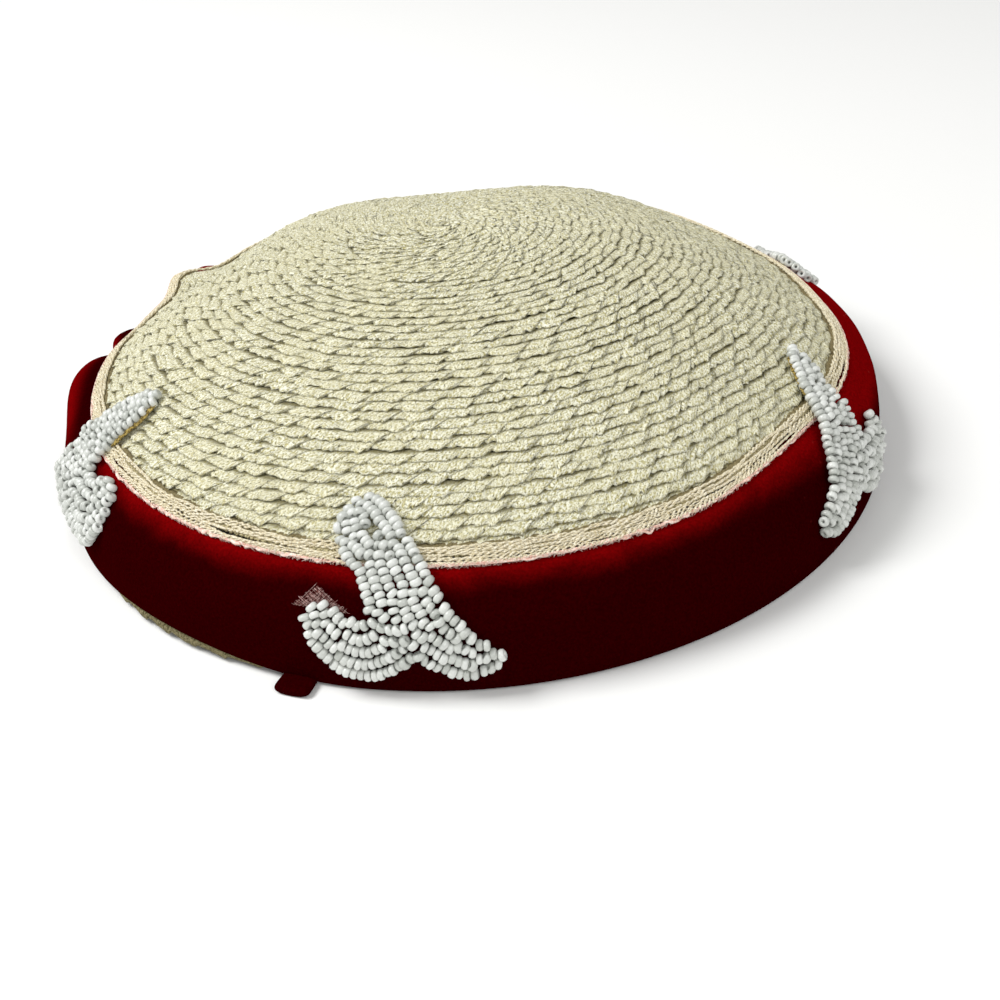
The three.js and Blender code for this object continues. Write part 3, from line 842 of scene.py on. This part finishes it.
# The doves. White glass seed beads are strung and sewn in rows that follow each dove's outline, on
# a small shape of net, which is then sewn over the rim so that head and wing lie on either side.
# An arm of a dove is a line of places, along it and above the rim, and half its width at each.
DOVE_ARMS = {
    "round_body": (
        (-9.6, 6.6, 2.9), (-8.2, 4.4, 5.8), (-4.2, 0.6, 5.6), (-1.1, -4.6, 6.4), (1.5, -9.4, 6.6),
        (6.5, -13.8, 5.0), (10.6, -16.7, 4.2), (13.6, -17.2, 3.0), (16.2, -17.2, 1.4),
    ),
    "pointed_body": (
        (-12.2, 9.8, 1.0), (-9.2, 6.6, 2.9), (-4.9, 1.8, 3.9), (-1.6, -4.4, 5.3), (1.5, -9.4, 6.4),
        (6.5, -13.8, 5.1), (10.6, -16.7, 4.3), (14.2, -17.6, 3.1), (16.9, -17.6, 1.4),
    ),
    "broad_body": (
        (-11.4, 9.0, 1.4), (-9.2, 6.6, 3.8), (-4.9, 1.8, 5.2), (-1.6, -4.4, 6.7), (1.5, -9.4, 6.4),
        (6.5, -13.8, 5.4), (10.6, -16.7, 4.6), (14.2, -17.6, 3.3), (16.9, -17.6, 1.5),
    ),
    "wing": (
        (-15.5, -10.3, 2.1), (-14.1, -12.2, 3.7), (-10.5, -15.0, 4.7), (-5.8, -16.1, 5.1),
        (0.6, -12.0, 4.9),
    ),
    "low_wing": (
        (-13.1, -10.8, 1.9), (-12.3, -13.2, 3.6), (-9.5, -15.4, 4.8), (-5.6, -15.9, 5.1),
        (0.6, -12.0, 4.9),
    ),
    "broad_wing": (
        (-15.8, -10.8, 2.2), (-15.0, -13.2, 4.2), (-12.2, -15.4, 5.6), (-8.3, -15.9, 5.9),
        (0.6, -12.0, 5.7),
    ),
    "beak": ((-14.4, 4.0, 1.0), (-11.2, 4.4, 1.1)),
}
DOVE_KINDS = {
    "round": ("round_body", "wing", "beak"), "pointed": ("pointed_body", "low_wing"),
    "broad": ("broad_body", "broad_wing"),
}
DOVE_EYES = {"round": ((-7.2, 4.4),), "pointed": (), "broad": ()}
DOVE_BREAST = (0.0, -8.0)
DOVE_RADIUS = 86.0
DOVES = table(
    "name kind facing turn up lean",
    ("dove_front", "round", 1, -10.5, 1, -0.6),
    ("dove_front_right", "pointed", -1, 56.3, 2.4, 2),
    ("dove_back_right", "round", 1, 119.5, -5.4, 24),
    ("dove_back", "pointed", -1, -168, -0.5, 12),
    ("dove_front_left", "broad", -1, -70.5, 2.7, -16),
)
DRAPE_CLEAR = 0.35
DRAPE_CROWN_RADII = (56, 61, 66, 71, 74.5)
DRAPE_END = 1.5
DRAPE_RIM = Sizes(inside=0.6, outside=1.4)
HEM_OVERHANG = 0.3
BEAD = Sizes(across=2.13, long=1.24, hole=0.44, turns=11, ring=8, row=2.02, step=1.21)
BEAD_STRETCH = 1.12
BEAD_CENTRE = 0.62
BEAD_INSET = 0.85
BEAD_ROUNDS = 60
BEAD_EASE = 0.25
BEAD_PUSH = 0.3
BEAD_LOOSE = Sizes(course=0.2, lift=0.12, tilt=0.16, size=0.05, long=0.07)
BEAD_SEED = 100
COURSE_STEP = 0.1
STRING_MARGIN = 0.2
STRING_START = (0.3, 0.7)
STRUNG_APART = 1.15
FILL_APART = 1.3
FILL = Sizes(along=(-18, 19), above=(-21, 12), step=0.35)
EYE_RADIUS = 1.55


def offset_line(line, distance):
    """The same line moved sideways, to the left of its direction."""
    ahead = unit(np.gradient(line, axis=0))
    return line + np.stack([-ahead[:, 1], ahead[:, 0]], -1) * distance


crown_part = np.stack([DRAPE_CROWN_RADII, crown_height(np.array(DRAPE_CROWN_RADII, float))], -1)
band_stops = np.linspace(DRAPE_END, band_run[-1], 10)[6::-1]
band_part = np.stack(read_line(band_stops, band_run, band_line), -1)
drape_stops = (
    offset_line(crown_part, DRAPE_CLEAR),
    [(LIP_RADIUS + DRAPE_CLEAR, LIP_HEIGHT + DRAPE_CLEAR)],
    offset_line(band_part, DRAPE_CLEAR),
)
drape_line = smooth_line(np.concatenate(drape_stops), 800)
drape_run = run_of(drape_line)
drape_slope = unit(np.gradient(drape_line, drape_run, axis=0))
drape_edge = np.interp(LIP_RADIUS, drape_line[:, 0], drape_run)


def hang(dove, along, above):
    """Turn on the hat and run down the drape line of a dove's place, leaned about its breast."""
    tilt = np.radians(dove.lean)
    out, up = along - DOVE_BREAST[0], above - DOVE_BREAST[1]
    around = DOVE_BREAST[0] + out * np.cos(tilt) - up * np.sin(tilt)
    height = DOVE_BREAST[1] + out * np.sin(tilt) + up * np.cos(tilt) + dove.up
    return dove.turn + np.degrees(dove.facing * around / DOVE_RADIUS), drape_edge - height


def on_hat(dove, along, above, lift):
    """A dove's flat place on the hat, moved as the rim and the band are, and lifted off them."""
    turn, run = hang(dove, along, above)
    run = np.clip(run, 0, drape_run[-1])
    radius, level = read_line(run, drape_run, drape_line)
    run_r, run_z = read_line(run, drape_run, drape_slope)
    outset, wave = edge_wave(turn)
    on_crown = smooth(CROWN_CALM_RADIUS, LIP_RADIUS, radius)
    on_band = smooth(BAND_CALM_HEIGHT, LIP_HEIGHT, level)
    swell = crown_swell(turn, np.minimum(radius, LIP_RADIUS))
    past = smooth(LIP_RADIUS - DRAPE_RIM.inside, LIP_RADIUS + DRAPE_RIM.outside, radius)
    crown_lift = wave * on_crown + swell
    band_lift = wave * on_band + swell * smooth(*BAND_TUCK, level)
    push = np.maximum(0, outset) * np.minimum(on_crown, on_band) + band_bulge(turn, level)
    return round_point(
        turn,
        radius - run_z * lift + push * past,
        level + run_r * lift + crown_lift * (1 - past) + band_lift * past,
    )


def dove_arms(kind):
    """Discs that fill each arm of a dove: along, above, radius, and the arm's direction there."""
    arms = []
    for arm in DOVE_KINDS[kind]:
        line = smooth_line(DOVE_ARMS[arm], 160)
        line[:, 1] /= BEAD_STRETCH
        arms.append(np.column_stack([line, unit(np.gradient(line[:, :2], axis=0))]))
    return arms


def depth_in(discs, spots):
    """How deep flat places lie in the discs, and which disc holds each place deepest."""
    depth = discs[:, 2] - np.linalg.norm(spots[:, None] - discs[:, :2], axis=2)
    return depth.max(axis=1), depth.argmax(axis=1)


def apart(ways, gap):
    """Gaps to other beads, in steps along a bead's string and in rows across it."""
    along = (gap * ways).sum(-1) / BEAD.step
    across = (gap[..., 1] * ways[..., 0] - gap[..., 0] * ways[..., 1]) / BEAD.row
    return along, across


def bead_places(kind, draw):
    """Flat places of a dove's beads and the directions of their strings.

    As many strings as find room run side by side along each arm, with beads a step apart on them.
    Beads are then set in what is left between the arms, and all are eased apart, so that none
    presses far into the next or out of the outline.
    """
    arms = dove_arms(kind)
    discs = np.concatenate(arms)
    asked = []
    for arm in arms:
        room = np.round((2 * arm[:, 2] - STRING_MARGIN) / BEAD.row)
        room = np.maximum(1, room).astype(int)
        beside = np.stack([-arm[:, 4], arm[:, 3]], -1)
        for part in np.split(np.arange(len(arm)), np.flatnonzero(np.diff(room)) + 1):
            strings = room[part[0]]
            for string in range(strings):
                share = (string + 0.5) / strings * 2 - 1
                line = arm[part, :2] + beside[part] * (arm[part, 2] * share)[:, None]
                run = run_of(line)
                start = draw.uniform(*STRING_START) * BEAD.step
                stops = np.arange(start, run[-1], BEAD.step)
                asked.append(np.stack(read_line(stops, run, line), -1))
    grid = np.meshgrid(np.arange(*FILL.along, FILL.step), np.arange(*FILL.above, FILL.step))
    asked.append(np.stack([values.ravel() for values in grid], -1))
    strung = sum(map(len, asked[:-1]))
    tight = np.repeat([STRUNG_APART, FILL_APART], [strung, len(asked[-1])])
    asked = np.concatenate(asked)
    depth, disc = depth_in(discs, asked)
    spots, ways = np.zeros((0, 2)), np.zeros((0, 2))
    eyes = np.array(DOVE_EYES[kind]).reshape(-1, 2) / (1, BEAD_STRETCH)
    for i in np.flatnonzero(depth > BEAD_INSET - BEAD_PUSH):
        near, wide = apart(ways, spots - asked[i])
        near_too, wide_too = apart(discs[disc[i], 3:], spots - asked[i])
        clear = np.all(near**2 + wide**2 + near_too**2 + wide_too**2 > tight[i])
        if clear and np.all(np.linalg.norm(eyes - asked[i], axis=1) > EYE_RADIUS):
            spots, ways = np.vstack([spots, asked[i]]), np.vstack([ways, discs[disc[i], 3:]])
    for _ in range(BEAD_ROUNDS):
        near, wide = apart(ways[:, None], spots[None] - spots[:, None])
        reach = np.sqrt(near**2 + wide**2)
        np.fill_diagonal(reach, np.inf)
        press = np.maximum(0, 1 - reach) / reach
        beside = np.stack([-ways[:, 1], ways[:, 0]], -1)
        spots = spots - BEAD_EASE * BEAD.step * (press * near).sum(1)[:, None] * ways
        spots = spots - BEAD_EASE * BEAD.row * (press * wide).sum(1)[:, None] * beside
        for eye in eyes:
            off = np.linalg.norm(spots - eye, axis=1)
            spots = spots + unit(spots - eye) * np.clip(EYE_RADIUS - off, 0, BEAD_PUSH)[:, None]
        depth, disc = depth_in(discs, spots)
        inward = unit(discs[disc, :2] - spots)
        spots = spots + inward * np.clip(BEAD_INSET - depth, 0, BEAD_PUSH)[:, None]
        ways = discs[disc, 3:]
    return spots * (1, BEAD_STRETCH), ways * (1, BEAD_STRETCH)


def bead_points(dove, spots, ways, draw):
    """Beads as rings with an oval section, (bead, turn, ring, xyz), each along its own string."""
    count = len(spots)
    along, above = spots.T
    course = np.arctan2(ways[:, 1], ways[:, 0])
    course = course + BEAD_LOOSE.course * draw.standard_normal(count)
    lift = BEAD_CENTRE + BEAD_LOOSE.lift * draw.standard_normal(count)
    centre = on_hat(dove, along, above, lift)
    step = COURSE_STEP * np.stack([np.cos(course), np.sin(course)])
    string = on_hat(dove, along + step[0], above + step[1], lift) - centre
    away = unit(on_hat(dove, along, above, lift + COURSE_STEP) - centre)
    string = unit(unit(string) + away * BEAD_LOOSE.tilt * draw.standard_normal((count, 1)))
    beside = unit(np.cross(away, string))
    away = np.cross(string, beside)
    size = (1 + BEAD_LOOSE.size * draw.standard_normal(count))[:, None, None]
    long_size = size * (1 + BEAD_LOOSE.long * draw.standard_normal(count))[:, None, None]
    turn = np.linspace(0, 2 * np.pi, BEAD.turns, endpoint=False)[:, None]
    ring = np.linspace(0, 2 * np.pi, BEAD.ring, endpoint=False)[None, :]
    middle = (BEAD.across + BEAD.hole) / 4
    wall = (BEAD.across - BEAD.hole) / 4
    reach = (middle + wall * np.cos(ring)) * size
    thick = -BEAD.long / 2 * np.sin(ring) * long_size + 0 * turn
    return (
        centre[:, None, None, :]
        + beside[:, None, None, :] * (reach * np.cos(turn))[..., None]
        + away[:, None, None, :] * (reach * np.sin(turn))[..., None]
        + string[:, None, None, :] * thick[..., None]
    )


def white_glass(name, pale, shade):
    """Opaque white glass, tumbled and fire polished: a bright gloss, each bead's tone its own."""
    material, node = new_material(name)
    tone = node("ShaderNodeAttribute", attribute_name="tone")
    colour = node(
        "ShaderNodeMix",
        {0: tone.outputs["Fac"], 6: linear(pale), 7: linear(shade)}, data_type="RGBA",
    )
    place = node("ShaderNodeTexCoord")
    flaws = node(
        "ShaderNodeTexNoise", {"Vector": place.outputs["Object"], "Scale": 900.0, "Detail": 2.0}
    )
    gloss = node("ShaderNodeMapRange", {"Value": flaws, "To Min": 0.16, "To Max": 0.42})
    relief = node("ShaderNodeBump", {"Height": flaws, "Strength": 0.2, "Distance": 0.15 * MM})
    shader = node(
        "ShaderNodeBsdfPrincipled",
        {
            "Base Color": colour, "Roughness": gloss, "IOR": 1.5,
            "Normal": relief, "Coat Weight": 0.25, "Coat Roughness": 0.12,
        },
    )
    node("ShaderNodeOutputMaterial", {"Surface": shader})
    return material


bead_glass = white_glass("white_seed_bead_glass", "#dddfda", "#b8bbb4")
for number, dove in enumerate(DOVES):
    draw = np.random.default_rng(BEAD_SEED + number)
    spots, ways = bead_places(dove.kind, draw)
    above_hem = hang(dove, *spots.T)[1] < drape_run[-1] + HEM_OVERHANG
    spots, ways = spots[above_hem], ways[above_hem]
    points = bead_points(dove, spots, ways, draw)
    group = (points, np.zeros((1, BEAD.turns + 1)), np.zeros(BEAD.ring + 1))
    name = dove.name + "_beads"
    beads = add_piece(name, [group], True, bead_glass, "beads", dove.name)
    tones = np.repeat(draw.random(len(spots)), BEAD.turns * BEAD.ring)
    attribute = beads.data.attributes.new("tone", "FLOAT", "POINT")
    attribute.data.foreach_set("value", tones.astype(np.float32))

# What the doves are sewn on. Each lies on a scrap of stiffened net, cut close round the beads. A
# corner of its mesh stands out at the front dove's wing, and a gold edge shows along two necks;
# along the front right dove's neck it stands both for the net's edge and for the shadow beside the
# beads, as painted shadow.
NET_CORNER = ((-19.6, -9.6), (-15.4, -5.8), (-9.0, -9.8))
NET = Sizes(
    mesh=0.42, shares=(0.02, 0.99), thread=0.075, points=6, ring=4, lift=0.35, curl=0.5,
    loose_start=0.08, loose_end=0.25, seed=70,
)
NECK_EDGES = table(
    "dove side clear run wide",
    ("dove_front_left", -1, 0.5, (0.2, 11.5), 1.4),
    # Along this neck the edge is partly the net's edge and partly painted shadow beside the beads.
    ("dove_front_right", 1, 0.1, (3.0, 12.0), 0.8),
)
NECK_EDGE = Sizes(points=60, ragged=0.14, lift=0.3, thick=0.35, ring=8, seed=80)
tip, shoulder, heel = np.array(NET_CORNER)
shares = np.arange(*NET.shares, NET.mesh / np.linalg.norm(heel - tip))[:, None]
draw = np.random.default_rng(NET.seed)
starts = np.tile(tip + (heel - tip) * shares, (2, 1))
stops = np.concatenate([shoulder + (heel - shoulder) * shares, tip + (shoulder - tip) * shares])
starts = starts + NET.loose_start * draw.standard_normal(starts.shape)
stops = stops + NET.loose_end * draw.standard_normal(stops.shape)
share = np.linspace(0, 1, NET.points)
line = starts[:, None] + (stops - starts)[:, None] * share[:, None]
tubes = carry(
    partial(on_hat, DOVES[0]), line[..., 0], line[..., 1], NET.lift + NET.curl * share**2,
    NET.thread, NET.thread, NET.ring,
)
net_thread = matt_fibre("pinkish_net_thread", "#c9a9a2", "#75443f")
group = (tubes, np.broadcast_to(share, tubes.shape[:2]), np.linspace(0, 1, NET.ring + 1))
add_piece("dove_front_net", [group], False, net_thread, "beads", "dove_front")

gold_edge = matt_fibre("gold_backing_edge", "#b09a55", "#57461c")
for row in NECK_EDGES:
    dove = next(each for each in DOVES if each.name == row.dove)
    neck = dove_arms(dove.kind)[0] * (1, BEAD_STRETCH, 1, 1, 1)
    run = run_of(neck[:, :2])
    beside = unit(np.stack([-neck[:, 4] * BEAD_STRETCH, neck[:, 3]], -1))
    edge = neck[:, :2] + beside * (row.side * (neck[:, 2] + row.clear))[:, None]
    stops = np.linspace(*row.run, NECK_EDGE.points)
    draw = np.random.default_rng(NECK_EDGE.seed)
    ragged = NECK_EDGE.ragged * draw.standard_normal((2, NECK_EDGE.points))
    along, above = read_line(stops, run, edge) + ragged
    tube = carry(
        partial(on_hat, dove), along, above, NECK_EDGE.lift,
        row.wide, NECK_EDGE.thick, NECK_EDGE.ring,
    )
    group = (tube[None], stops[None], np.linspace(0, 1, NECK_EDGE.ring + 1))
    add_piece(row.dove + "_edge", [group], False, gold_edge, "beads", row.dove)

# The set: a pale floor that the hat rests on, soft light from above and from the left, and the
# camera at the photograph's angle to the hat.
FLOOR_SIZE = 40.0
FLOOR_HEIGHT = -0.0002
LIGHTS = table(
    "name place aim size power",
    ("key", (-0.6, 0.05, 0.8), (0, 0, 0.02), 0.5, 8.6),
    ("fill", (0.4, -0.8, 0.7), (0, 0, 0.02), 0.9, 5.0),
)
WORLD_STRENGTH = 0.4
FOCAL_PIXELS = 1459.7
FRAME_PIXELS = 1000.0
SENSOR_WIDTH = 36.0
CAMERA_DISTANCE = 315.0
CAMERA_ELEVATION = 30.94
CAMERA_AIM = (3.88, 0.0, -18.75)
CAMERA_ROLL = -5.02
bpy.ops.mesh.primitive_plane_add(size=FLOOR_SIZE, location=(0, 0, FLOOR_HEIGHT))
floor = bpy.context.object
floor.name = "floor"
paper, node = new_material("white_paper")
place = node("ShaderNodeTexCoord")
mottle = node(
    "ShaderNodeTexNoise", {"Vector": place.outputs["Object"], "Scale": 2.0, "Detail": 2.0}
)
white = node(
    "ShaderNodeMix", {0: mottle, 6: linear("#f7f7f5"), 7: linear("#f3f3f1")}, data_type="RGBA"
)
shader = node("ShaderNodeBsdfPrincipled", {"Base Color": white, "Roughness": 0.9})
node("ShaderNodeOutputMaterial", {"Surface": shader})
floor.data.materials.append(paper)

for row in LIGHTS:
    lamp = bpy.data.lights.new(row.name, "AREA")
    lamp.energy = row.power
    lamp.size = row.size
    light = bpy.data.objects.new(row.name, lamp)
    bpy.context.scene.collection.objects.link(light)
    back = unit(np.array(row.place) - np.array(row.aim))
    aside = unit(np.cross((0, 1, 0), back))
    turned = np.eye(4)
    turned[:3, :3] = np.stack([aside, np.cross(back, aside), back], -1)
    turned[:3, 3] = row.place
    light.matrix_world = Matrix(turned.tolist())
world = bpy.data.worlds.new("studio")
world.use_nodes = True
world.node_tree.nodes["Background"].inputs["Color"].default_value = linear("#ffffff")
world.node_tree.nodes["Background"].inputs["Strength"].default_value = WORLD_STRENGTH
bpy.context.scene.world = world
bpy.context.scene.view_settings.view_transform = "Standard"

elevation, roll = np.radians(CAMERA_ELEVATION), np.radians(CAMERA_ROLL)
eye = CAMERA_DISTANCE * np.array([0, -np.cos(elevation), np.sin(elevation)])
ahead = unit(np.array(CAMERA_AIM) - eye)
level = unit(np.cross(ahead, (0, 0, 1)))
upright = np.cross(level, ahead)
stand = np.eye(4)
stand[:3, 0] = np.cos(roll) * level + np.sin(roll) * upright
stand[:3, 1] = np.cos(roll) * upright - np.sin(roll) * level
stand[:3, 2] = -ahead
stand[:3, 3] = eye * MM
lens = bpy.data.cameras.new("camera")
lens.sensor_width = SENSOR_WIDTH
lens.lens = SENSOR_WIDTH * FOCAL_PIXELS / FRAME_PIXELS
lens.clip_start = 0.01
camera = bpy.data.objects.new("camera", lens)
bpy.context.scene.collection.objects.link(camera)
camera.matrix_world = Matrix(stand.tolist())
bpy.context.scene.camera = camera
